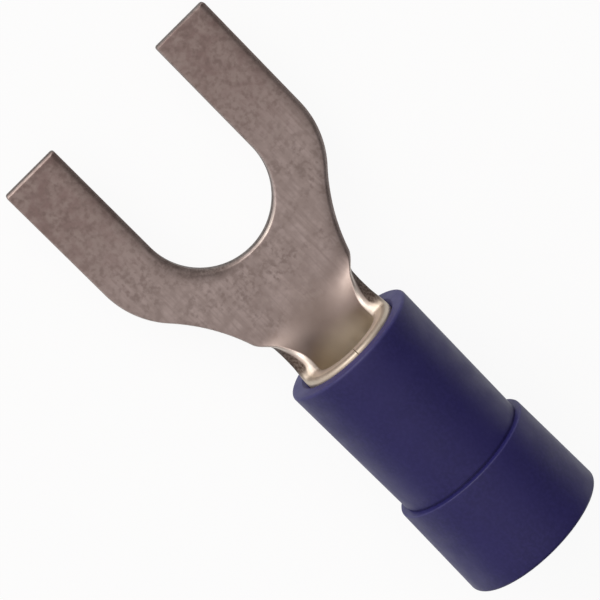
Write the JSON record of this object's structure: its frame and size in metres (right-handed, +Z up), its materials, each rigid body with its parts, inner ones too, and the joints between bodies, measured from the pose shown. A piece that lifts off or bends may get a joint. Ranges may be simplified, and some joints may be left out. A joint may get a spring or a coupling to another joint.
{
  "type": "fork terminal",
  "caption": "Insulated crimp fork terminal: a flat tinned fork tongue for a stud, rolled into a crimp barrel inside a stepped dark blue vinyl sleeve.",
  "frame": {"origin": "the stud's axis, at the underside of the fork tongue", "axes": "+X along the barrel towards the wire, +Z up out of the tongue's top face, along the stud"},
  "size_m": [0.0217, 0.0096, 0.006],
  "materials": {
    "tinned_copper": "satin tin plating on copper sheet",
    "blue_vinyl": "satin moulded vinyl"
  },
  "bodies": {
    "root": {"terminal": "tinned_copper", "sleeve": "blue_vinyl"}
  },
  "joints": []
}
